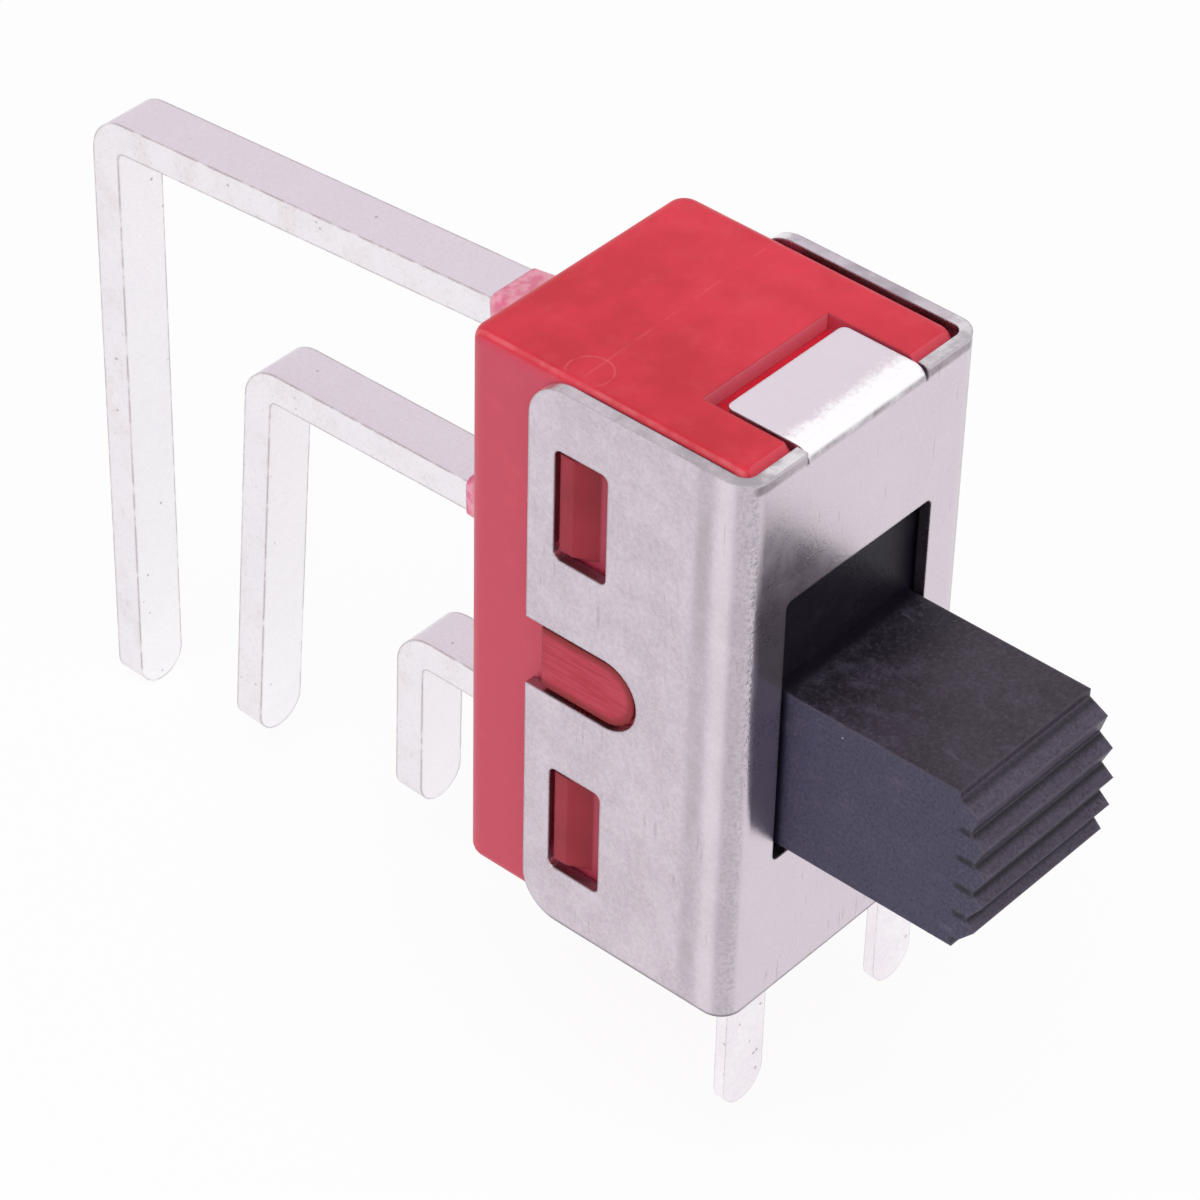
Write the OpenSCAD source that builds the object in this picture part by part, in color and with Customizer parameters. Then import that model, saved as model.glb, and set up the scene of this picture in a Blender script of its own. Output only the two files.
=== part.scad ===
// Miniature slide switch with a folded steel frame, two board legs and three bent terminals.
// Millimetres. X is across the switch, Y runs from the front panel to the back, Z is up.
// Origin: middle of the front panel's outer face, at the frame's bottom edge.

/* [Frame] */
// Width across the two side plates
frame_w = 6.6; // [5.6:0.1:9]
// Height of the frame, along the slide
frame_h = 12.7; // [11:0.1:18]
// Depth of the side plates from the panel's outer face
frame_d = 5.1; // [4.9:0.1:6]
// Thickness of the sheet steel
sheet_t = 0.25; // [0.15:0.05:0.35]
// Inner radius of the two long folds
fold_in_r = 0.25; // [0.1:0.05:0.4]
// Corner radius at the back of the side plates
rear_corner_r = 0.85; // [0.2:0.05:1.2]
// Depth of a latch window
window_d = 1.27; // [0.9:0.01:1.6]
// Height of a latch window
window_h = 2.5; // [1.5:0.1:3]
// Corner radius of a latch window
window_r = 0.15; // [0.05:0.05:0.4]
// Distance from a latch window to the frame's end
window_end = 1.33; // [1:0.01:2]
// Distance from a latch window to the rear edge
window_rear = 0.63; // [0.4:0.01:1]
// Height of the notch in the rear edge
notch_h = 1.6; // [1:0.1:2.4]
// Depth of the notch from the rear edge to its round end
notch_d = 2.71; // [1.5:0.01:3.2]
// Width of the slot in the panel
slot_w = 4.16; // [3:0.02:4.4]
// Height of the slot in the panel
slot_h = 6.2; // [5.5:0.1:6.6]
// Height of the slot's middle above the frame's middle
slot_rise = 0.07; // [-0.1:0.01:0.1]
// Corner radius of the slot
slot_r = 0.15; // [0.05:0.05:0.4]
// Width of the tab folded over the top
tab_w = 3.3; // [2:0.1:4]
// Reach of the tab from the panel's outer face
tab_reach = 1.93; // [1.2:0.01:2.6]
// Inner radius of the tab's fold
tab_in_r = 0.05; // [0.05:0.05:0.3]
// Corner radius of the tab
tab_corner_r = 0.15; // [0.05:0.05:0.4]
// Width of the relief cut beside the tab
tab_relief = 0.05; // [0.03:0.01:0.2]

/* [Bracket] */
// Distance from the bracket's top edge down from the case's cavity
bracket_lip = 0.13; // [0.05:0.01:0.3]
// Distance from a leg's outer edge to the frame's side
leg_inset = 0.425; // [0.2:0.025:0.8]
// Width of a leg
leg_w = 1.15; // [0.6:0.05:1.2]
// Length of a leg below the frame
leg_drop = 2.85; // [1.5:0.05:4]

/* [Case] */
// Depth from the panel's outer face to the back of the case
case_back = 6.9; // [6.8:0.1:8]
// Thickness of the side walls
wall_t = 0.7; // [0.5:0.05:0.9]
// Thickness of the base that carries the terminals
base_t = 1.7; // [1.5:0.1:2]
// Radius of the case's upright edges
case_corner_r = 0.4; // [0.3:0.05:0.6]
// Radius of the case's other edges
case_edge_r = 0.25; // [0.1:0.05:0.25]
// Bevel at the front of the top face
case_bevel = 0.2; // [0.1:0.05:0.4]
// Height of the latch bosses above the case's sides
boss_rise = 0.24; // [0.1:0.02:0.26]
// Distance from a latch window's front to the start of its boss
boss_start = 0.35; // [0.1:0.05:0.5]
// Length of the ramp at the front of a latch boss
boss_ramp = 0.5; // [0.1:0.05:0.6]
// Distance between the notch boss's back and the frame's rear edge
notch_boss_short = 0.35; // [0.1:0.05:0.8]

/* [Actuator] */
// Width of the handle
handle_w = 3.84; // [2.5:0.02:4]
// Height of the handle
handle_h = 3.68; // [3:0.02:4.2]
// Reach of the handle in front of the panel
handle_reach = 4.68; // [3:0.02:7]
// Number of ribs on the handle's face
rib_count = 5; // [3:1:5]
// Distance between ribs
rib_pitch = 0.67; // [0.5:0.01:0.7]
// Depth of the grooves between the ribs
rib_depth = 0.27; // [0.1:0.01:0.5]
// Distance from the handle's top to the first rib
rib_start = 0.4; // [0.3:0.02:0.6]
// How far the face bows back at its first rib
face_bow = 0.27; // [0:0.01:0.5]
// Place where the face stands out furthest, as a share of the way from first rib to last
face_peak = 0.575; // [0.5:0.005:0.7]
// Space between the handle and the slot's end at each end of the travel
end_gap = 0.34; // [0.1:0.02:0.5]
// Thickness of the flange behind the panel
flange_t = 0.9; // [0.6:0.1:1]
// How far the flange covers the slot's end at each end of the travel
flange_cover = 0.25; // [0.1:0.05:0.4]
// Width and height of the guide behind the flange
guide_w = 2.6; // [2.2:0.1:3]
// Distance from the guide's back to the rocking contact's pivot
guide_back = 1.3; // [1:0.1:1.5]

/* [Contacts] */
// Diameter of the plunger
plunger_dia = 1.4; // [1:0.1:1.6]
// Length of the plunger inside the guide
plunger_grip = 1.3; // [0.8:0.1:1.6]
// Length of the spring in the bore
spring_l = 2.9; // [2:0.1:3]
// Diameter of the spring's wire
wire_dia = 0.24; // [0.16:0.02:0.3]
// Number of turns of the spring
spring_turns = 5; // [4:1:7]
// Thickness of the rocking contact
rocker_t = 0.25; // [0.15:0.05:0.3]
// Length of each wing of the rocking contact
rocker_wing = 5; // [4.7:0.1:5]
// Angle that each wing leans forward of the contact's middle plane
rocker_tilt = 6; // [3:0.5:7]

/* [Terminals] */
// Distance between terminals along the case
term_pitch = 4.7; // [4.2:0.05:4.8]
// Width of a terminal
term_w = 1.2; // [0.8:0.05:1.6]
// Thickness of a terminal
term_t = 0.7; // [0.3:0.05:0.8]
// Outer radius of a terminal's bend
bend_r = 0.9; // [0.8:0.05:1.4]
// Distance from the panel to the lower terminal's leg
pin_first = 10.58; // [9.5:0.02:13]
// Distance between the legs of neighbouring terminals
pin_pitch = 4.1; // [2.5:0.1:5]
// Length of a terminal behind the case before it droops
root_l = 0.2; // [0.1:0.1:1]
// Angle that the upper terminal's arm droops
droop_upper = 3.8; // [0:0.1:5]
// Angle that the middle terminal's arm droops
droop_common = 1; // [0:0.1:5]
// Angle that the lower terminal's arm droops
droop_lower = 0; // [0:0.1:5]
// Angle that the upper terminal's leg leans back
lean_upper = 0.3; // [0:0.1:5]
// Angle that the middle terminal's leg leans back
lean_common = 3.7; // [0:0.1:5]
// Angle that the lower terminal's leg leans back
lean_lower = 1; // [0:0.1:5]
// Length of the upper terminal below the frame
drop_upper = 4.05; // [2:0.1:6]
// Length of the middle terminal below the frame
drop_common = 3.3; // [2:0.1:6]
// Length of the lower terminal below the frame
drop_lower = 2.55; // [2:0.05:6]
// Depth of the sealing compound in the back of the case
seal_t = 0.6; // [0.3:0.1:0.8]
// Distance from the case's outline to the sealing compound
seal_inset = 0.5; // [0.4:0.05:0.8]
// Length of the collar that the compound forms on the upper terminal
collar_upper = 1.5; // [0.4:0.05:2.2]
// Length of the collar on the middle terminal
collar_common = 2.1; // [0.4:0.05:2.2]
// Length of the collar on the lower terminal
collar_lower = 1.4; // [0.4:0.05:2.2]
// Thickness of the collar around a terminal at its root
collar_t = 0.2; // [0.15:0.05:0.4]
// Size of the collar's thin end, as a share of its root
collar_taper = 0.84; // [0.8:0.01:0.95]

/* [Clearances] */
// Space between the case and the frame's side plates, and in front of the case
case_gap = 0.05; // [0.03:0.01:0.1]
// Space around the latch bosses
boss_gap = 0.1; // [0.05:0.01:0.2]
// Space around the tab in its recess
tab_gap = 0.1; // [0.05:0.01:0.2]
// Space behind the tab
tab_back_gap = 0.44; // [0.1:0.02:0.6]
// Space between the panel and the flange
panel_gap = 0.08; // [0.05:0.01:0.15]
// Space around the flange in the case
flange_gap = 0.1; // [0.05:0.01:0.2]
// Space between the plunger and its bore
bore_gap = 0.05; // [0.03:0.01:0.1]
// Space between the plunger and the rocking contact
plunger_gap = 0.05; // [0.04:0.01:0.1]
// Space between the rocking contact and the terminals
contact_gap = 0.03; // [0.02:0.01:0.06]
// Space between the rocking contact and the side walls
rocker_gap = 0.3; // [0.1:0.05:0.6]
// Space between the rocking contact and the base
rocker_base_gap = 0.7; // [0.5:0.05:0.9]
// Space around a terminal in the case and in the compound
term_gap = 0.02; // [0.01:0.01:0.05]

/* [Hidden] */
$fn = 64;
e = 0.5;

fold_r = sheet_t + fold_in_r;
tab_fold_r = sheet_t + tab_in_r;
mid_z = frame_h / 2;
slot_z = mid_z + slot_rise;
window_y = frame_d - window_rear - window_d;

case_w = frame_w - 2 * sheet_t - 2 * case_gap;
case_front = sheet_t + case_gap;
cavity_w = case_w - 2 * wall_t;
base_y = case_back - base_t;

travel = slot_h - handle_h - 2 * end_gap;
rest_z = slot_z - travel / 2;
face_mid = (rib_count - 1) * face_peak;
flange_y = sheet_t + panel_gap;
flange_w = cavity_w - 2 * flange_gap;
flange_h = slot_h + travel + 2 * flange_cover;
cavity_h = flange_h + travel + 2 * flange_gap;
cavity_z = slot_z - cavity_h / 2;

bracket_w = frame_w - 2 * fold_r - 2 * case_gap;
bracket_h = cavity_z - bracket_lip;
leg_x = frame_w / 2 - leg_inset - leg_w / 2;

rocker_y = base_y - rocker_base_gap;
guide_end = rocker_y - guide_back;
rocker_w = cavity_w - 2 * rocker_gap;
plunger_r = plunger_dia / 2;
plunger_z = mid_z - travel / 2;
plunger_tip = rocker_y - rocker_t - plunger_gap;
plunger_back = guide_end - plunger_grip;
bore_r = plunger_r + bore_gap;
bore_end = plunger_back - spring_l;

term_z = [mid_z + term_pitch, mid_z, mid_z - term_pitch];
pin_y = [pin_first + 2 * pin_pitch, pin_first + pin_pitch, pin_first];
droop = [droop_upper, droop_common, droop_lower];
lean = [lean_upper, lean_common, lean_lower];
drop = [drop_upper, drop_common, drop_lower];
collar_l = [collar_upper, collar_common, collar_lower];
term_in = rocker_y + contact_gap;
root_y = case_back + root_l;

steel = [0.77, 0.75, 0.78];
tin = [0.9, 0.89, 0.91];
red = [0.76, 0.2, 0.24];
black = [0.13, 0.12, 0.14];
brass = [0.83, 0.68, 0.4];
silver = [0.88, 0.87, 0.89];
pink = [0.86, 0.38, 0.46];

// Rectangle with round corners, centred
module rounded(w, h, r) {
  square([w - 2 * r, h], center = true);
  square([w, h - 2 * r], center = true);
  for (x = [-1, 1], y = [-1, 1])
    translate([x * (w / 2 - r), y * (h / 2 - r)])
      circle(r);
}

// Extrudes a profile drawn in X and Z from y0 to y1
module along_y(y0, y1) {
  translate([0, y1, 0])
    rotate([90, 0, 0])
      linear_extrude(y1 - y0)
        children();
}

// Extrudes a profile drawn in Y and Z to width w, centred on X
module along_x(w) {
  translate([-w / 2, 0, 0])
    rotate([90, 0, 90])
      linear_extrude(w)
        children();
}

// Square less a quarter circle, for rounding a corner at the origin that points to +Y and +Z
module corner_cut(r) {
  difference() {
    translate([-r, -r])
      square(r + e);
    translate([-r, -r])
      circle(r);
  }
}

// Channel outline of the frame, seen from above
module channel(w, front, r) {
  translate([-w / 2, front + r])
    square([w, frame_d - front - r]);
  translate([-w / 2 + r, front])
    square([w - 2 * r, frame_d - front]);
  for (x = [-1, 1])
    translate([x * (w / 2 - r), front + r])
      circle(r);
}

// Fold and flat of the top tab, seen from the side
module tab_profile() {
  difference() {
    union() {
      translate([0, frame_h - tab_fold_r - e])
        square([sheet_t, e]);
      translate([tab_fold_r, frame_h - sheet_t])
        square([tab_reach - tab_fold_r, sheet_t]);
      intersection() {
        translate([tab_fold_r, frame_h - tab_fold_r])
          circle(tab_fold_r);
        translate([0, frame_h - tab_fold_r])
          square(tab_fold_r);
      }
    }
    translate([tab_fold_r, frame_h - tab_fold_r])
      circle(tab_fold_r - sheet_t);
  }
}

module frame() {
  color(steel) {
    difference() {
      linear_extrude(frame_h)
        difference() {
          channel(frame_w, 0, fold_r);
          inner_channel();
        }
      translate([0, 0, slot_z])
        along_y(-e, fold_r)
          rounded(slot_w, slot_h, slot_r);
      for (z = [window_end, frame_h - window_end - window_h])
        along_x(frame_w + 2 * e)
          translate([window_y + window_d / 2, z + window_h / 2])
            rounded(window_d, window_h, window_r);
      along_x(frame_w + 2 * e)
        notch_outline(notch_h / 2, frame_d - notch_d, frame_d + e);
      along_x(frame_w + 2 * e)
        translate([frame_d, frame_h])
          corner_cut(rear_corner_r);
      along_x(frame_w + 2 * e)
        translate([frame_d, 0])
          mirror([0, 1])
            corner_cut(rear_corner_r);
      translate([-tab_w / 2 - tab_relief, -e, frame_h - tab_fold_r])
        cube([tab_w + 2 * tab_relief, fold_r + e, tab_fold_r + e]);
    }
    difference() {
      along_x(tab_w)
        tab_profile();
      for (x = [-1, 1])
        translate([x * tab_w / 2, tab_reach, frame_h - tab_fold_r])
          mirror([x < 0 ? 1 : 0, 0, 0])
            linear_extrude(tab_fold_r + e)
              corner_cut(tab_corner_r);
    }
  }
}

// Space inside the channel, open to the back
module inner_channel() {
  w = frame_w - 2 * sheet_t;
  r = fold_r - sheet_t;
  translate([-w / 2, fold_r])
    square([w, frame_d]);
  translate([-w / 2 + r, sheet_t])
    square([w - 2 * r, frame_d]);
  for (x = [-1, 1])
    translate([x * (w / 2 - r), fold_r])
      circle(r);
}

// Notch or boss outline with a round front end, seen from the side
module notch_outline(r, front, back) {
  translate([front + r, mid_z])
    circle(r);
  translate([front + r, mid_z - r])
    square([back - front - r, 2 * r]);
}

// Plate and legs are one flat sheet behind the panel
module bracket() {
  color(tin)
    along_y(sheet_t, 2 * sheet_t) {
      translate([-bracket_w / 2, -2 * case_gap])
        square([bracket_w, bracket_h + 2 * case_gap]);
      for (x = [-1, 1])
        translate([x * leg_x, 0])
          leg_outline();
    }
}

// One leg with a full round tip, its shoulder just clear of the frame
module leg_outline() {
  translate([-leg_w / 2, leg_w / 2 - leg_drop])
    square([leg_w, leg_drop - leg_w / 2 - case_gap]);
  translate([0, leg_w / 2 - leg_drop])
    circle(leg_w / 2);
}

// Upright post of the case's block, round in plan and with round ends
module post() {
  rotate_extrude()
    intersection() {
      translate([0, mid_z])
        rounded(2 * case_corner_r, frame_h, case_edge_r);
      square([case_corner_r, frame_h]);
    }
}

// Outer block of the case: two rounded slabs that cross between four posts
module case_block() {
  d = case_back - case_front;
  r = case_corner_r;
  difference() {
    translate([0, (case_front + case_back) / 2, 0]) {
      translate([0, 0, mid_z])
        along_y(r - d / 2, d / 2 - r)
          rounded(case_w, frame_h, case_edge_r);
      translate([0, 0, mid_z])
        along_x(case_w - 2 * r)
          rounded(d, frame_h, case_edge_r);
      for (x = [-1, 1], y = [-1, 1])
        translate([x * (case_w / 2 - r), y * (d / 2 - r), 0])
          post();
    }
    along_x(case_w + 2 * e)
      translate([case_front, frame_h])
        rotate(45)
          square(case_bevel * sqrt(2), center = true);
  }
}

// Ramped latch that fills a window on the +X side, seen from above
module latch_outline() {
  y0 = window_y + boss_start;
  y1 = window_y + window_d - boss_gap;
  s = case_w / 2;
  polygon([[s - wall_t / 2, y0], [s, y0], [s + boss_rise, y0 + boss_ramp],
    [s + boss_rise, y1], [s - wall_t / 2, y1]]);
}

module case() {
  color(red)
    difference() {
      union() {
        case_block();
        for (x = [0, 1])
          mirror([x, 0, 0])
            for (z = [window_end, frame_h - window_end - window_h])
              translate([0, 0, z + 2 * boss_gap])
                linear_extrude(window_h - 3 * boss_gap)
                  latch_outline();
        along_x(case_w + 2 * boss_rise)
          notch_outline(notch_h / 2 - boss_gap, frame_d - notch_d + boss_gap,
            frame_d - notch_boss_short);
      }
      translate([-cavity_w / 2, case_front - e, cavity_z])
        cube([cavity_w, base_y - case_front + e, cavity_h]);
      translate([-case_w, case_front - e, -e])
        cube([2 * case_w, sheet_t + e, bracket_h + case_gap + e]);
      translate([-tab_w / 2 - tab_gap, case_front - e, frame_h - sheet_t - tab_gap])
        cube([tab_w + 2 * tab_gap, tab_reach + tab_back_gap - case_front + e, sheet_t + tab_gap + e]);
      translate([0, 0, mid_z])
        along_y(case_back - seal_t, case_back + e)
          rounded(case_w - 2 * seal_inset, frame_h - 2 * seal_inset, case_edge_r);
      for (i = [0:2])
        terminal_slot(i);
    }
}

// Y of the handle's face at rib position i
function face_y(i) = face_bow * pow(i / face_mid - 1, 2) - handle_reach;

// Ribbed handle, seen from the side, with its bottom at z = 0
module handle_outline() {
  last = rib_count - 1;
  top_y = face_y(-0.6) + rib_depth;
  crests = [for (i = [0:last]) [
    [i == 0 ? top_y : face_y(i - 0.33) + rib_depth, handle_h - rib_start - rib_pitch * (i - 0.33)],
    [face_y(i), handle_h - rib_start - rib_pitch * i]]];
  polygon(concat(
    [[flange_y + flange_t / 2, 0], [flange_y + flange_t / 2, handle_h], [top_y, handle_h]],
    [for (pair = crests, p = pair) p],
    [[face_y(last + 0.67) + rib_depth, handle_h - rib_start - rib_pitch * (last + 0.67)],
      [face_y(last + 0.9) + rib_depth, 0]]));
}

module actuator() {
  color(black)
    difference() {
      union() {
        translate([0, 0, rest_z - handle_h / 2])
          along_x(handle_w)
            handle_outline();
        translate([-flange_w / 2, flange_y, rest_z - flange_h / 2])
          cube([flange_w, flange_t, flange_h]);
        translate([-guide_w / 2, flange_y + flange_t / 2, plunger_z - guide_w / 2])
          cube([guide_w, guide_end - flange_y - flange_t / 2, guide_w]);
      }
      translate([0, 0, plunger_z])
        along_y(bore_end, guide_end + e)
          circle(bore_r);
    }
}

module plunger() {
  color(brass)
    translate([0, 0, plunger_z]) {
      along_y(plunger_back, plunger_tip - plunger_r)
        circle(plunger_r);
      translate([0, plunger_tip - plunger_r, 0])
        sphere(plunger_r);
    }
}

// Wound wire drawn as a closed skin, with rings of points along the helix
module plunger_spring() {
  ring = 8;
  steps = spring_turns * 16;
  wr = wire_dia / 2;
  cr = plunger_r - wr - bore_gap;
  rise = spring_l - wire_dia - 2 * contact_gap;
  points = [for (s = [0:steps], k = [0:ring - 1])
    let (a = 360 * spring_turns * s / steps, b = 360 * k / ring, r = cr + wr * cos(b))
    [r * cos(a), bore_end + contact_gap + wr + rise * s / steps + wr * sin(b), r * sin(a)]];
  skin = [for (s = [0:steps - 1], k = [0:ring - 1], h = [0:1])
    let (a = s * ring + k, b = s * ring + (k + 1) % ring)
    h == 0 ? [a, b, b + ring] : [a, b + ring, a + ring]];
  start = [for (k = [0:ring - 1]) ring - 1 - k];
  finish = [for (k = [0:ring - 1]) steps * ring + k];
  color(steel)
    translate([0, 0, plunger_z])
      polyhedron(points, concat(skin, [start, finish]));
}

// Two wings that meet at the pivot, drawn with the lower wing upright
module rocker_contact() {
  a = 2 * rocker_tilt;
  up = [-sin(a), cos(a)];
  out = [-cos(a), -sin(a)];
  mitre = rocker_t * (out + [-1, 0]) / (1 + cos(a));
  color(brass)
    translate([0, rocker_y, mid_z])
      along_x(rocker_w)
        polygon([[0, 0], rocker_wing * up, rocker_wing * up + rocker_t * out, mitre,
          [-rocker_t, -rocker_wing], [0, -rocker_wing]]);
}

// Directions and points of terminal i's middle line, in Y and Z
function arm_dir(i) = [cos(droop[i]), -sin(droop[i])];
function arm_up(i) = [sin(droop[i]), cos(droop[i])];
function leg_dir(i) = [sin(lean[i]), -cos(lean[i])];
function leg_out(i) = [cos(lean[i]), sin(lean[i])];
function bend_cut(i) = (bend_r - term_t / 2) * tan((90 - droop[i] - lean[i]) / 2);
function corner(i) = [root_y, term_z[i]] + arm_dir(i) * (pin_y[i] - root_y) / cos(droop[i]);
function bend_start(i) = corner(i) - bend_cut(i) * arm_dir(i);
function bend_end(i) = corner(i) + bend_cut(i) * leg_dir(i);
function bend_mid(i) = bend_start(i) - (bend_r - term_t / 2) * arm_up(i);
function leg_l(i) = (bend_end(i)[1] + drop[i]) / cos(lean[i]);

// Blade and arm of terminal i, seen from the side, t thick and starting at y0
module arm_outline(i, t, y0) {
  kink = t / 2 * (arm_up(i) + [0, 1]) / (1 + cos(droop[i]));
  polygon([[y0, term_z[i] + t / 2], [root_y, term_z[i]] + kink, bend_start(i) + t / 2 * arm_up(i),
    bend_start(i) - t / 2 * arm_up(i), [root_y, term_z[i]] - kink, [y0, term_z[i] - t / 2]]);
}

// Whole middle section of terminal i, seen from the side, with its bend rounded on both faces
module terminal_outline(i, y0) {
  root = [root_y, term_z[i]];
  kink = term_t / 2 * (arm_up(i) + [0, 1]) / (1 + cos(droop[i]));
  mitre = term_t / 2 * (arm_up(i) + leg_out(i)) / (1 + sin(droop[i] + lean[i]));
  foot = bend_end(i) + leg_dir(i) * leg_l(i);
  half = term_t / 2;
  difference() {
    union() {
      polygon([[y0, term_z[i] + half], root + kink, corner(i) + mitre, foot + half * leg_out(i),
        foot - half * leg_out(i), corner(i) - mitre, root - kink, [y0, term_z[i] - half]]);
      difference() {
        polygon([bend_mid(i), bend_start(i) - half * arm_up(i), corner(i),
          bend_end(i) - half * leg_out(i)]);
        translate(bend_mid(i))
          circle(bend_r - term_t);
      }
    }
    difference() {
      polygon([bend_mid(i), bend_start(i) + half * arm_up(i), corner(i) + 3 * mitre,
        bend_end(i) + half * leg_out(i)]);
      translate(bend_mid(i))
        circle(bend_r);
    }
  }
}

module terminal(i, y0) {
  foot = bend_end(i) + leg_dir(i) * leg_l(i);
  difference() {
    along_x(term_w)
      terminal_outline(i, y0);
    translate([0, foot[0], foot[1]])
      rotate([lean[i], 0, 0])
        along_y(-term_t, term_t)
          difference() {
            translate([-term_w, -e])
              square([2 * term_w, term_w / 2 + e]);
            translate([0, term_w / 2])
              circle(term_w / 2);
          }
  }
}

// Opening that terminal i needs in the case and in the compound
module terminal_slot(i) {
  along_x(term_w + 2 * term_gap)
    arm_outline(i, term_t + 2 * term_gap, term_in - e);
}

module terminal_upper() {
  color(silver)
    terminal(0, term_in);
}

// The middle terminal ends in a round nose that the contact rocks on
module terminal_common() {
  color(silver) {
    terminal(1, term_in + term_t / 2);
    along_x(term_w)
      translate([term_in + term_t / 2, term_z[1]])
        circle(term_t / 2);
  }
}

module terminal_lower() {
  color(silver)
    terminal(2, term_in);
}

// Compound poured into the back of the case, with a tapered collar on each terminal
module terminal_seal() {
  color(pink)
    difference() {
      union() {
        translate([0, 0, mid_z])
          along_y(case_back - seal_t, case_back)
            rounded(case_w - 2 * seal_inset, frame_h - 2 * seal_inset, case_edge_r);
        for (i = [0:2])
          translate([0, case_back - seal_t / 2, term_z[i]])
            rotate([-90 - droop[i], 0, 0])
              linear_extrude(collar_l[i] + seal_t / 2, scale = collar_taper)
                rounded(term_w + 2 * collar_t, term_t + 2 * collar_t, collar_t);
      }
      for (i = [0:2])
        terminal_slot(i);
    }
}

frame();
bracket();
case();
actuator();
plunger();
plunger_spring();
rocker_contact();
terminal_upper();
terminal_common();
terminal_lower();
terminal_seal();
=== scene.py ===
import math

import bpy
from mathutils import Matrix, Vector


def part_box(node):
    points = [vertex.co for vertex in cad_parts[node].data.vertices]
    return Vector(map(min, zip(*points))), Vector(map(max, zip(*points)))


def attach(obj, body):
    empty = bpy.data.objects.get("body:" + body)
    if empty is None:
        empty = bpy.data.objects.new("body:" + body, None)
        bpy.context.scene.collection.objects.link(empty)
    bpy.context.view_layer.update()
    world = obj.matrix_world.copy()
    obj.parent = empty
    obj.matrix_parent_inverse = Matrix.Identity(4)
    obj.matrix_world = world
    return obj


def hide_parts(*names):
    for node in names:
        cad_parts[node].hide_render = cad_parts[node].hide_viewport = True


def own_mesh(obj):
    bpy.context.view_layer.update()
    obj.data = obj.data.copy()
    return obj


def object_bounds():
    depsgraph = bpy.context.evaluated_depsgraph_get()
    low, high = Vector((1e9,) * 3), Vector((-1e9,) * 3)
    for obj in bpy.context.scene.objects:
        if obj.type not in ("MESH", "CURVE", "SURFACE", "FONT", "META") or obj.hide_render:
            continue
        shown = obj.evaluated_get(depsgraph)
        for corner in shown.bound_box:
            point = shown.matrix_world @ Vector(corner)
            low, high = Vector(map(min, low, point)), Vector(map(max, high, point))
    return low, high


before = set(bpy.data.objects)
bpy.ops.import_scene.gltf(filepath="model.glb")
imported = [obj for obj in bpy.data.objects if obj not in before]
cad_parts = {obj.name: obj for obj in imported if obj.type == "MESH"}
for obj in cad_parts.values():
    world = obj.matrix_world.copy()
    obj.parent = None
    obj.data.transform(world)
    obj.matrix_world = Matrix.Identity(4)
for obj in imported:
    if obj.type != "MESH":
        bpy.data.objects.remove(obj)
cad_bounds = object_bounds()

MM = 0.001

# Places on the part that the looks refer to, in millimetres
MID_HEIGHT = 6.35
UPPER_EDGE = 12.4
TAB_HALF = 1.66
PANEL_LINE = 12.6
# Y of the painted highlight band and the painted shade line beside the front fold
FOLD_HIGHLIGHT_Y, FOLD_SHADE_Y = 0.53, 0.98
CASE_TOP = 12.66
CASE_HALF = 3.0
RIM_HIGHLIGHT_X, GROOVE_SHADE_X = 2.87, 2.92
RING_X, RING_Y, RING_R = -2.5, 4.37, 0.45
SEAM_Y, SEAM_LEAN = 4.42, 0.03
WINDOW_Y, WINDOW_OFF = 3.84, 3.77
NOTCH_NOSE_Y = 3.19
RIBS_FROM, RIBS_FULL = -3.95, -4.1
RIB_TOP, RIB_PITCH, RIB_PHASE = 6.94, 0.67, 0.67


def feed(socket, value):
    """Links a wire to an input socket, or sets the socket to a plain value."""
    if isinstance(value, Wire):
        socket.id_data.links.new(value.socket, socket)
    else:
        socket.default_value = value


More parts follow.
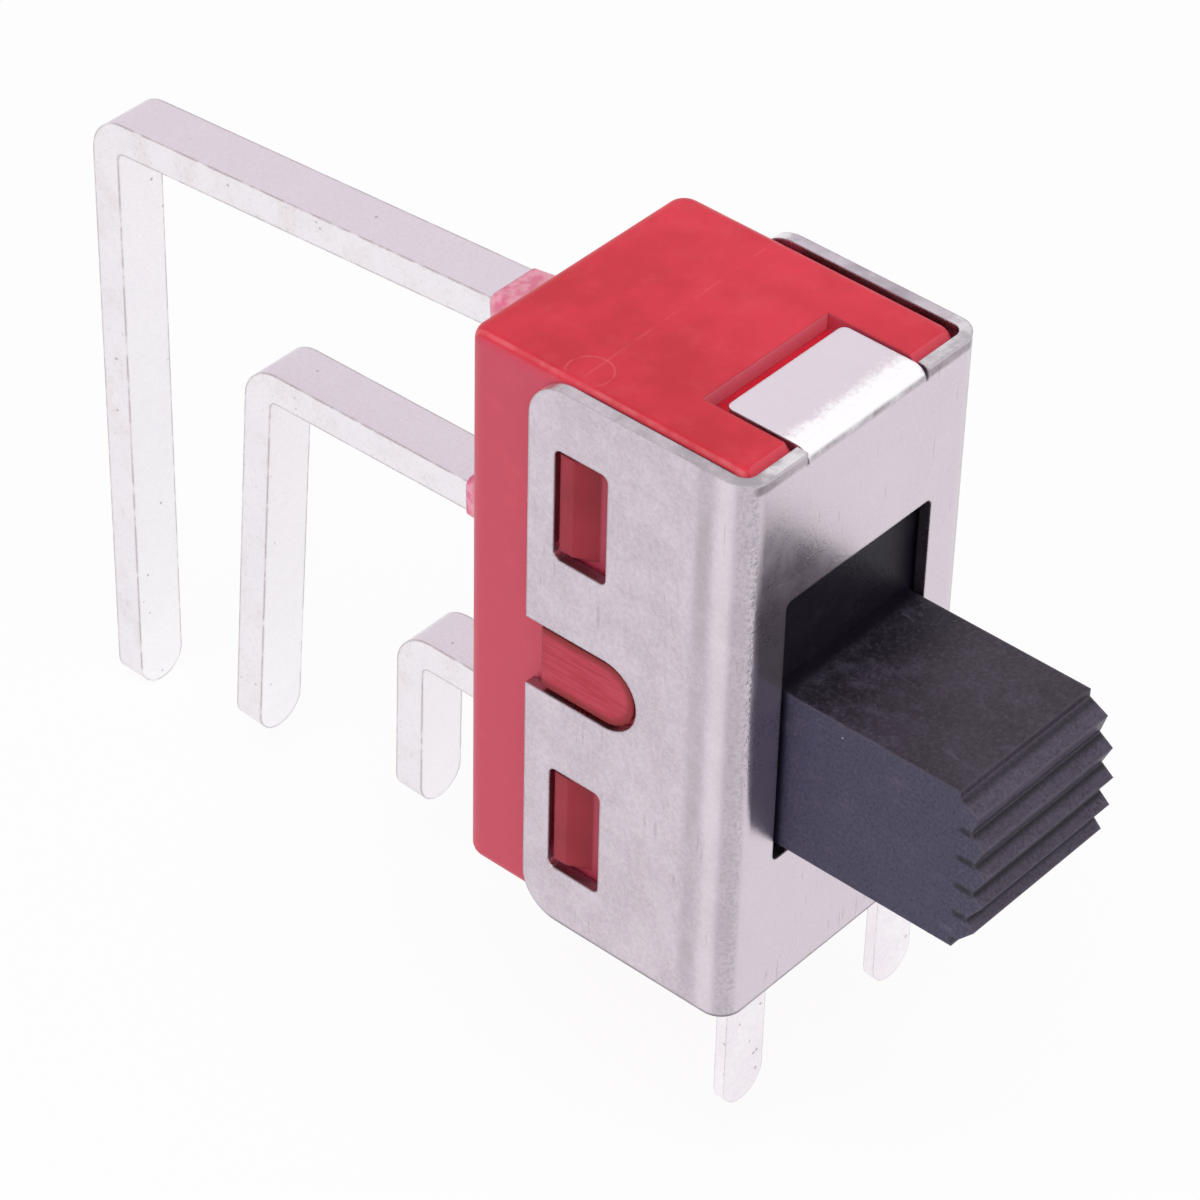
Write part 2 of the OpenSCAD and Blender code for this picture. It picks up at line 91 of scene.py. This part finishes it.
class Wire:
    """An output socket of a node tree that takes part in Python arithmetic."""

    def __init__(self, socket):
        self.socket = socket

    def node(self, kind, settings, inputs, output=0):
        """Adds a node: its settings go in first, then its input sockets."""
        made = self.socket.id_data.nodes.new(kind)
        for name, value in settings.items():
            setattr(made, name, value)
        for key, value in inputs.items():
            feed(made.inputs[key], value)
        return Wire(made.outputs[output])

    def math(self, operation, a, b=0.0):
        return self.node("ShaderNodeMath", {"operation": operation}, {0: a, 1: b})

    def __add__(self, other):
        return self.math("ADD", self, other)

    __radd__ = __add__

    def __sub__(self, other):
        return self.math("SUBTRACT", self, other)

    def __rsub__(self, other):
        return self.math("SUBTRACT", other, self)

    def __mul__(self, other):
        return self.math("MULTIPLY", self, other)

    def __truediv__(self, other):
        return self.math("DIVIDE", self, other)

    def __abs__(self):
        return self.math("ABSOLUTE", self)

    def __pow__(self, other):
        return self.math("POWER", self, other)

    def least(self, other):
        return self.math("MINIMUM", self, other)

    def most(self, other):
        return self.math("MAXIMUM", self, other)

    def ramp(self, low, high, to_low=0.0, to_high=1.0):
        """Smooth step from to_low at low to to_high at high."""
        ends = {"From Min": low, "From Max": high, "To Min": to_low, "To Max": to_high}
        return self.node(
            "ShaderNodeMapRange", {"interpolation_type": "SMOOTHSTEP"}, {"Value": self, **ends}
        )

    def fall(self, low, high):
        """Smooth step down from 1 at low to 0 at high."""
        return self.ramp(low, high, 1.0, 0.0)

    def mix(self, a, b):
        """Colour a where this value is 0 and colour b where it is 1."""
        return self.node("ShaderNodeMix", {"data_type": "RGBA"}, {0: self, 6: a, 7: b}, 2)

    def vector(self, operation, other, output=0):
        inputs = {0: self, 1: other}
        return self.node("ShaderNodeVectorMath", {"operation": operation}, inputs, output)

    def scaled(self, x, y, z):
        return self.vector("MULTIPLY", (x, y, z))

    def shifted(self, x, y, z):
        return self.vector("ADD", (x, y, z))

    def axes(self):
        return [self.node("ShaderNodeSeparateXYZ", {}, {0: self}, i) for i in range(3)]

    def noise(self, scale, detail=3.0, roughness=0.55):
        amounts = {"Scale": scale, "Detail": detail, "Roughness": roughness}
        return self.node("ShaderNodeTexNoise", {}, {"Vector": self, **amounts})

    def cells(self, scale):
        """Distance to the nearest of many scattered points."""
        return self.node("ShaderNodeTexVoronoi", {}, {"Vector": self, "Scale": scale})


def srgb(r, g, b):
    """Linear colour of an 8-bit sRGB one."""
    linear = []
    for c in (r / 255, g / 255, b / 255):
        linear.append(c / 12.92 if c <= 0.04 else ((c + 0.055) / 1.055) ** 2.4)
    return (*linear, 1.0)


def surface(name, build):
    """Material with the inputs that build(place) gives, place being the point in millimetres."""
    made = bpy.data.materials.new(name)
    made.use_nodes = True
    tree = made.node_tree
    shader = tree.nodes["Principled BSDF"]
    place = Wire(tree.nodes.new("ShaderNodeTexCoord").outputs["Object"]).scaled(1000, 1000, 1000)
    for key, value in build(place).items():
        feed(shader.inputs[key], value)
    return made


def rounding(place, radius):
    """Normal that rounds edges off over radius millimetres, and a mask of those edges."""
    soft = place.node("ShaderNodeBevel", {"samples": 3}, {"Radius": radius * MM})
    flat = place.node("ShaderNodeNewGeometry", {}, {}, "True Normal")
    return soft, (1.0 - soft.vector("DOT_PRODUCT", flat, "Value")).ramp(0.01, 0.2)


def facing(place):
    """Size of the surface normal along X, Y and Z."""
    return [abs(n) for n in place.node("ShaderNodeNewGeometry", {}, {}, "Normal").axes()]


def relief(normal, height, strength, distance):
    """Small relief on a normal, distance in millimetres."""
    amounts = {"Strength": strength, "Distance": distance * MM}
    return normal.node("ShaderNodeBump", {}, {"Height": height, "Normal": normal, **amounts})


def streaks(place, stretch, scale, share):
    """Short scratches along the axis with the smallest stretch, on about share of the surface."""
    line = place.scaled(*stretch).noise(scale, 0.0).ramp(0.68, 0.76)
    return line * place.shifted(4, 9, 2).noise(1.1, 2.0).ramp(0.6 - share, 0.75 - share)


def specks(place, scale, size, share):
    """Scattered dots, at most size wide in millimetres."""
    dots = place.cells(scale).fall(size * scale * 0.25, size * scale * 0.5)
    return dots * place.shifted(3, 5, 1).noise(1.3, 1.0).ramp(0.62 - share, 0.7 - share)


def frame_steel(place):
    soft, edge = rounding(place, 0.06)
    nx, ny, nz = facing(place)
    x, y, z = place.axes()
    fold = (nx * ny).ramp(0.2, 0.45)
    # Painted highlight: a light vertical band on the side plates just behind the front fold.
    fold_highlight = nx.ramp(0.6, 0.9) * abs(y - FOLD_HIGHLIGHT_Y).fall(0.05, 0.28)
    # Painted shade: a darker vertical line on the side plates behind that band.
    fold_shade_line = nx.ramp(0.95, 1.0) * abs(y - FOLD_SHADE_Y).fall(0.05, 0.3)
    # Painted highlight: the tab's front fold and the tab top near the front are painted near
    # white, speckled at the band's edge.
    tab_fold_highlight = (ny * nz).ramp(0.1, 0.4).most(nz * y.fall(0.3, 0.9) * 0.6)
    broken = place.shifted(0, 3, 0).noise(9.0, 3.0, 0.65) * 0.8 - 0.4
    tab_fold_highlight = (tab_fold_highlight + broken).ramp(0.1, 0.6)
    # Painted shade: the upward-facing cut edges of the sheet, outside the tab, are painted grey.
    cut_edge_shade = nz.ramp(0.7, 0.95) * abs(x).ramp(TAB_HALF, TAB_HALF + 0.06)
    lower = z.fall(0.02, 0.08)
    # Painted shade: a dark band along the top of the front face, just below the fold.
    front_rim_shade = ny.ramp(0.8, 0.95) * z.ramp(UPPER_EDGE, UPPER_EDGE + 0.1)
    front_rim_shade = front_rim_shade * z.ramp(PANEL_LINE, PANEL_LINE + 0.08, 1.0, 0.2)
    cloud = place.noise(0.8, 5.0, 0.7).ramp(0.36, 0.64)
    grain = place.noise(12.0, 2.0, 0.6).ramp(0.32, 0.68)
    scratch = streaks(place, (1.0, 1.0, 0.09), 13.0, 0.1) * (1.0 - nz)
    tone = (cloud * 0.5 + grain * 0.5).mix(srgb(196, 184, 194), srgb(218, 206, 216))
    # Painted light: front faces and top faces are painted lighter than the side faces.
    tone = (ny.ramp(0.7, 0.95) * 0.6).mix(tone, srgb(222, 211, 221))
    tone = (nz.ramp(0.7, 0.95) * 0.85).mix(tone, srgb(225, 213, 223))
    # Painted shade: the rounded vertical folds are painted darker, broken up by grain.
    tone = (fold * (0.15 + grain * 0.5)).mix(tone, srgb(158, 152, 160))
    tone = (fold_highlight * 0.45).mix(tone, srgb(230, 222, 230))
    tone = (fold_shade_line * (0.12 + cloud * 0.42)).mix(tone, srgb(158, 149, 157))
    tone = tab_fold_highlight.mix(tone, srgb(255, 252, 255))
    # Painted shade: the sheet's edges are painted darker, mixed with real scratches.
    painted_edge_shading = edge ** 0.5 * (1.0 - nz)
    tone = (scratch * 0.22 + painted_edge_shading * 0.5).mix(tone, srgb(122, 114, 122))
    tone = (cut_edge_shade * (0.35 + cloud * 0.55)).mix(tone, srgb(158, 148, 156))
    tone = (lower * (0.4 + cloud * 0.3)).mix(tone, srgb(116, 110, 118))
    return {
        "Base Color": (front_rim_shade * (0.4 + cloud * 0.45)).mix(tone, srgb(126, 114, 124)),
        "Metallic": 1.0,
        "Roughness": 0.26 - fold * 0.04 + cloud * 0.06 + scratch * 0.06,
        "Normal": relief(soft, grain, 0.04 + fold * 0.3, 0.02),
    }


def tinned(place):
    soft, edge = rounding(place, 0.04)
    cloud = place.noise(1.3, 3.0).ramp(0.3, 0.7)
    grain = place.noise(9.0, 2.0).ramp(0.3, 0.7)
    pit = specks(place, 3.0, 0.1, 0.12)
    tone = (cloud * 0.6 + grain * 0.4).mix(srgb(242, 233, 241), srgb(254, 250, 254))
    tone = (edge * grain * 0.8).mix(tone, srgb(164, 134, 120))
    return {
        "Base Color": (pit * 0.5).mix(tone, srgb(120, 96, 84)),
        "Metallic": 1.0,
        "Roughness": 0.26 + cloud * 0.1,
        "Normal": relief(soft, grain, 0.12, 0.02),
    }


def plated(place):
    soft, edge = rounding(place, 0.07)
    nx, _, nz = facing(place)
    cloud = place.noise(0.9, 3.0).ramp(0.3, 0.7)
    grain = place.noise(14.0, 2.0, 0.65).ramp(0.3, 0.7)
    sheared = nx.ramp(0.6, 0.9)
    stain = sheared * place.shifted(5, 1, 8).noise(1.1, 4.0, 0.65).ramp(0.46, 0.66)
    pitted = sheared * place.shifted(1, 2, 3).noise(10.0, 3.0, 0.7).ramp(0.54, 0.7)
    pitted = pitted * (0.35 + stain * 0.4)
    pit = specks(place, 2.4, 0.09, 0.12)
    wear = edge ** 0.4 * place.shifted(7, 0, 2).noise(2.2, 4.0).ramp(0.34, 0.54)
    tone = (cloud * 0.5 + grain * 0.5).mix(srgb(246, 242, 248), srgb(255, 253, 255))
    tone = (sheared * 0.6).mix(tone, srgb(233, 227, 233))
    # Painted shade: upward-facing faces are painted greyer than the other faces, standing for
    # darker reflections.
    tone = (nz.ramp(0.6, 0.9) * (0.75 + grain * 0.15)).mix(tone, srgb(212, 198, 210))
    tone = (stain * 0.14).mix(tone, srgb(206, 182, 172))
    tone = (pitted * 0.35).mix(tone, srgb(150, 124, 114))
    tone = (wear * 0.8).mix(tone, srgb(124, 90, 74))
    return {
        "Base Color": (pit * 0.5).mix(tone, srgb(112, 92, 84)),
        "Metallic": 1.0,
        "Roughness": 0.32 + cloud * 0.08 + pitted * 0.1,
        "Normal": relief(soft, grain - pitted, 0.12, 0.02),
    }


def red_moulding(place):
    soft, edge = rounding(place, 0.08)
    nx, ny, _ = facing(place)
    x, y, z = place.axes()
    cloud = place.noise(0.75, 3.0).ramp(0.3, 0.7)
    bloom = place.shifted(2, 8, 0).noise(1.7, 4.0, 0.65).ramp(0.5, 0.74)
    grain = place.noise(10.0, 2.0)
    drag = place.scaled(1.0, 0.08, 1.0).noise(12.0, 2.0).ramp(0.35, 0.65)
    top = z.ramp(CASE_TOP - 0.04, CASE_TOP)
    upper = z.ramp(UPPER_EDGE, UPPER_EDGE + 0.1)
    faint = place.shifted(0, 6, 3).noise(2.4, 4.0, 0.65).ramp(0.36, 0.62)
    aside, behind = x - RING_X, y - RING_Y
    from_ring = abs((aside * aside + behind * behind) ** 0.5 - RING_R)
    ring = from_ring.fall(0.005, 0.035) * top * faint
    seam = abs(y - SEAM_Y - x * SEAM_LEAN).fall(0.005, 0.04) * top * faint
    # Painted highlight: a light line along the rounded upper edge of the case sides.
    rim_highlight = abs(abs(x) - RIM_HIGHLIGHT_X).fall(0.02, 0.06) * upper
    # Painted shade: a dark line where the case side meets the frame plate near the top.
    groove_shade = abs(x).ramp(GROOVE_SHADE_X, GROOVE_SHADE_X + 0.03) * upper * y.fall(3.9, 4.3)
    # Painted light: faces turned along Y near the top, such as the tab recess wall, are painted
    # lighter.
    recess_wall_light = ny.ramp(0.6, 0.9) * z.ramp(UPPER_EDGE - 0.1, UPPER_EDGE)
    # Painted shade: the window bosses and the notch boss are painted a darker red than the case.
    # They are darkest at the notch boss's rounded nose, and the window bosses get lighter along
    # Y.
    boss = abs(x).ramp(CASE_HALF + 0.003, CASE_HALF + 0.03)
    off_middle = abs(z - MID_HEIGHT)
    # Painted shade: the case sides showing inside the window openings are painted a darker red.
    window_gap_shade = abs(off_middle - WINDOW_OFF).fall(1.25, 1.3) * abs(y - WINDOW_Y).fall(0.64, 0.68)
    nose = (y - NOTCH_NOSE_Y).least(0.0)
    brim = (nose * nose + off_middle * off_middle) ** 0.5
    shaded_catch = drag.mix(srgb(178, 30, 52), srgb(192, 52, 74))
    shaded_catch = brim.ramp(0.46, 0.64).mix(shaded_catch, srgb(140, 4, 20))
    shaded_latch = (y.ramp(3.6, 4.3) * 0.4 + cloud * 0.6).mix(srgb(134, 8, 28), srgb(160, 26, 48))
    shaded_latch = off_middle.ramp(0.9, 1.2).mix(shaded_catch, shaded_latch)
    across = x.ramp(-CASE_HALF, CASE_HALF)
    tone = (cloud * 0.6 + across * 0.4).mix(srgb(203, 26, 46), srgb(234, 46, 70))
    # Painted light: the side faces are painted a paler, pinker red than the top.
    tone = nx.ramp(0.6, 0.95).mix(tone, srgb(204, 68, 90))
    tone = (window_gap_shade * nx).mix(tone, srgb(170, 50, 74))
    tone = (bloom * 0.22).mix(tone, srgb(232, 96, 110))
    # Painted highlight on that line and on all rounded edges.
    tone = (rim_highlight * (0.2 + faint * 0.3) + edge * 0.15).mix(tone, srgb(240, 122, 130))
    tone = (recess_wall_light * 0.8).mix(tone, srgb(252, 128, 146))
    tone = groove_shade.mix(tone, srgb(120, 8, 22))
    tone = boss.mix(tone, shaded_latch)
    return {
        "Base Color": (ring * 0.26 + seam * 0.15).mix(tone, srgb(240, 128, 134)),
        "Roughness": 0.4 + bloom * 0.12,
        "Specular IOR Level": 0.35,
        "Normal": relief(soft, grain * 0.5 - ring * 0.5 - seam * 0.4, 0.14, 0.03),
    }


def black_moulding(place):
    soft, edge = rounding(place, 0.07)
    nx, _, nz = facing(place)
    _, y, z = place.axes()
    cloud = place.noise(0.9, 3.0).ramp(0.3, 0.7)
    grain = place.noise(13.0, 4.0, 0.75)
    ribs = y.fall(RIBS_FULL, RIBS_FROM)
    inner = y.ramp(-0.1, 0.1)
    outer = 1.0 - inner
    tooth = (RIB_TOP - z) / RIB_PITCH
    # Painted shade: the grooves between the ribs are painted near black.
    groove_shade = abs(tooth.math("FRACT", tooth) - RIB_PHASE).fall(0.04, 0.17) * ribs
    pores = grain.fall(0.38, 0.47) * outer
    rub = place.scaled(1.0, 0.6, 1.2).noise(2.2, 5.0, 0.75).ramp(0.48, 0.72)
    flat = place.node("ShaderNodeNewGeometry", {}, {}, "Normal")
    soft = place.node("ShaderNodeMix", {"data_type": "VECTOR"}, {0: inner, 4: soft, 5: flat}, 1)
    scratch = streaks(place, (1.0, 0.1, 1.0), 14.0, 0.08)
    dust = specks(place, 1.7, 0.07, 0.05)
    tone = cloud.mix(srgb(51, 42, 54), srgb(63, 54, 67))
    # Painted light: the side faces are painted a lighter, bluer grey than the top.
    tone = nx.ramp(0.6, 0.95).mix(tone, srgb(64, 61, 84))
    # Painted shade: the top is painted darker where the handle meets the front plate.
    tone = (y.ramp(-2.2, -0.4) * nz * 0.75).mix(tone, srgb(24, 20, 30))
    tone = (ribs * (1.0 - nx) * 0.55).mix(tone, srgb(90, 83, 100))
    tone = (pores * 0.4).mix(tone, srgb(26, 22, 30))
    dusty = (0.3 + ribs * 0.3) * grain.ramp(0.48, 0.68)
    tone = (rub * 0.3 + dusty).mix(tone, srgb(98, 91, 110))
    tone = (groove_shade * 0.8).mix(tone, srgb(18, 14, 22))
    # Painted highlight: the outer edges and rib crests are painted lighter, mixed with real
    # scratches.
    painted_edge_shading = outer * edge ** 0.6 * (0.45 + ribs * 0.2)
    tone = (painted_edge_shading + scratch * 0.15).mix(tone, srgb(130, 123, 140))
    # Painted shade: the parts inside the front plate are painted near black.
    tone = (inner * 0.9).mix(tone, srgb(16, 11, 26))
    return {
        "Base Color": (dust * 0.6).mix(tone, srgb(190, 186, 196)),
        "Roughness": 0.38 + cloud * 0.08 + rub * 0.14,
        "Specular IOR Level": 0.22,
        "Normal": relief(soft, grain, 0.35, 0.03),
    }


def resin(place):
    soft, edge = rounding(place, 0.04)
    _, y, _ = place.axes()
    cloud = place.noise(0.9, 3.0).ramp(0.3, 0.7)
    grain = place.noise(5.0, 3.0)
    collar = grain.ramp(0.35, 0.65).mix(srgb(232, 116, 148), srgb(244, 166, 186))
    tone = cloud.mix(srgb(198, 52, 78), srgb(212, 72, 98))
    tone = y.ramp(6.9, 7.6).mix(tone, collar)
    return {
        # Painted highlight: the rounded edges are painted lighter.
        "Base Color": (edge * 0.3).mix(tone, srgb(248, 186, 202)),
        "Roughness": 0.3 + grain * 0.16,
        "Normal": relief(soft, grain + cloud, 0.3, 0.05),
    }


def turned_brass(place):
    turning = place.scaled(0.1, 6.0, 0.1).noise(3.0, 2.0)
    return {
        "Base Color": turning.mix(srgb(196, 160, 88), srgb(222, 190, 120)),
        "Metallic": 1.0,
        "Roughness": 0.25 + turning * 0.15,
    }


def spring_wire(place):
    drawn = place.noise(6.0, 3.0)
    return {
        "Base Color": drawn.mix(srgb(150, 148, 150), srgb(196, 194, 196)),
        "Metallic": 1.0,
        "Roughness": 0.24 + drawn * 0.16,
    }


LOOKS = {
    "frame": surface("satin_steel", frame_steel),
    "bracket": surface("bright_tin", tinned),
    "case": surface("red_plastic", red_moulding),
    "actuator": surface("black_plastic", black_moulding),
    "plunger": surface("brass", turned_brass),
    "plunger_spring": surface("spring_wire", spring_wire),
    "rocker_contact": surface("silver_plate", plated),
    "terminal_seal": surface("pink_resin", resin),
}
for name in ("terminal_upper", "terminal_common", "terminal_lower"):
    LOOKS[name] = LOOKS["rocker_contact"]
for name, look in LOOKS.items():
    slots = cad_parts[name].data.materials
    slots.clear()
    slots.append(look)


TURN_STEPS, TUBE_SIDES = 32, 12


def coil(name, start, end, centre, radius, wire, turns):
    """Wound spring along Y as a tube mesh, sizes in millimetres."""
    steps, ring = turns * TURN_STEPS, TUBE_SIDES
    points, faces = [], []
    for s in range(steps + 1):
        a = math.tau * turns * s / steps
        mid = start + wire + (end - start - 2 * wire) * s / steps
        for k in range(ring):
            b = math.tau * k / ring
            r = radius + wire * math.cos(b)
            point = (r * math.cos(a), mid + wire * math.sin(b), centre + r * math.sin(a))
            points.append([v * MM for v in point])
    for s in range(steps):
        for k in range(ring):
            p, q = s * ring + k, s * ring + (k + 1) % ring
            faces.append((p, p + ring, q + ring, q))
    faces.append(tuple(range(ring)))
    faces.append(tuple(steps * ring + k for k in reversed(range(ring))))
    mesh = bpy.data.meshes.new(name)
    mesh.from_pydata(points, [], faces)
    mesh.polygons.foreach_set("use_smooth", [True] * len(mesh.polygons))
    made = bpy.data.objects.new(name, mesh)
    bpy.context.scene.collection.objects.link(made)
    return made


# The spring shortens as the plunger is pressed in; a smooth coil at its full length stands for
# the CAD node
low, high = (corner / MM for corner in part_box("plunger_spring"))
WIRE, TURNS, PRESS = 0.12, 5, 0.3
centre, reach = (low.z + high.z) / 2, (high.x - low.x) / 2
spring = coil("spring", low.y, high.y, centre, reach - WIRE, WIRE, TURNS)
spring.data.materials.append(LOOKS["plunger_spring"])
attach(spring, "slider")
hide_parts("plunger_spring")
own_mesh(spring)


def in_sight(tree):
    """1 for rays that show what they meet, straight or in a reflection, and 0 for the others."""
    rays = tree.nodes.new("ShaderNodeLightPath").outputs
    straight, mirrored = Wire(rays["Is Camera Ray"]), Wire(rays["Is Glossy Ray"])
    return straight.most(mirrored).most(Wire(rays["Is Transmission Ray"]))


# Floor under the lowest terminal, white where it is in sight, with part of its shadow kept
FLOOR_HALF, FLOOR_GLOW = 2, 0.92
corners = [(-1, -1), (1, -1), (1, 1), (-1, 1)]
ground = bpy.data.meshes.new("floor")
ground.from_pydata([(x * FLOOR_HALF, y * FLOOR_HALF, 0) for x, y in corners], [], [(0, 1, 2, 3)])
floor = bpy.data.objects.new("floor", ground)
floor.location.z = cad_bounds[0].z
bpy.context.scene.collection.objects.link(floor)
pale = bpy.data.materials.new("pale_floor")
pale.use_nodes = True
nodes = pale.node_tree.nodes
matt = nodes["Principled BSDF"]
matt.inputs["Base Color"].default_value = (1, 1, 1, 1)
matt.inputs["Roughness"].default_value = 0.9
glow = nodes.new("ShaderNodeEmission")
blend = nodes.new("ShaderNodeMixShader")
feed(blend.inputs[0], in_sight(pale.node_tree) * FLOOR_GLOW)
feed(blend.inputs[1], Wire(matt.outputs[0]))
feed(blend.inputs[2], Wire(glow.outputs[0]))
feed(nodes["Material Output"].inputs["Surface"], Wire(blend.outputs[0]))
ground.materials.append(pale)

# White surroundings, dimmer where they only light the part
DIM = 0.55
world = bpy.data.worlds.new("studio")
world.use_nodes = True
bpy.context.scene.world = world
back = world.node_tree.nodes["Background"]
back.inputs["Color"].default_value = (1, 1, 1, 1)
feed(back.inputs["Strength"], in_sight(world.node_tree) * (1 - DIM) + DIM)


LIT = Vector((0, 6, 5))


def lamp(name, place, size, power):
    """Square soft box at place, facing the part, sizes in millimetres and power in watts."""
    data = bpy.data.lights.new(name, "AREA")
    data.size = size * MM
    data.energy = power
    made = bpy.data.objects.new(name, data)
    made.location = Vector(place) * MM
    made.rotation_euler = (LIT - Vector(place)).to_track_quat("-Z", "Y").to_euler()
    bpy.context.scene.collection.objects.link(made)


lamp("key", (-60, -40, 170), 140, 0.1)
lamp("side", (-170, 30, 60), 120, 0.045)
lamp("fill", (-20, -170, 70), 120, 0.045)

# Camera fitted to the photograph, lengths in millimetres
TARGET, DISTANCE = Vector((-1.009, 5.262, 6.056)), 91.839
AZIMUTH, ELEVATION, ROLL = math.radians(-49.67), math.radians(39.277), math.radians(1.444)
FOCAL, SENSOR = 145.76, 36
away = Vector((
    math.sin(AZIMUTH) * math.cos(ELEVATION),
    -math.cos(AZIMUTH) * math.cos(ELEVATION),
    math.sin(ELEVATION),
))
level = (-away).cross(Vector((0, 0, 1))).normalized()
rise = level.cross(-away)
right = level * math.cos(ROLL) + rise * math.sin(ROLL)
up = rise * math.cos(ROLL) - level * math.sin(ROLL)
lens = bpy.data.cameras.new("camera")
lens.lens = FOCAL
lens.sensor_width = SENSOR
lens.clip_start, lens.clip_end = 0.005, 20
camera = bpy.data.objects.new("camera", lens)
turn = Matrix((right, up, away)).transposed().to_4x4()
camera.matrix_world = Matrix.Translation((TARGET + away * DISTANCE) * MM) @ turn
bpy.context.scene.collection.objects.link(camera)
bpy.context.scene.camera = camera
bpy.context.scene.view_settings.view_transform = "Standard"
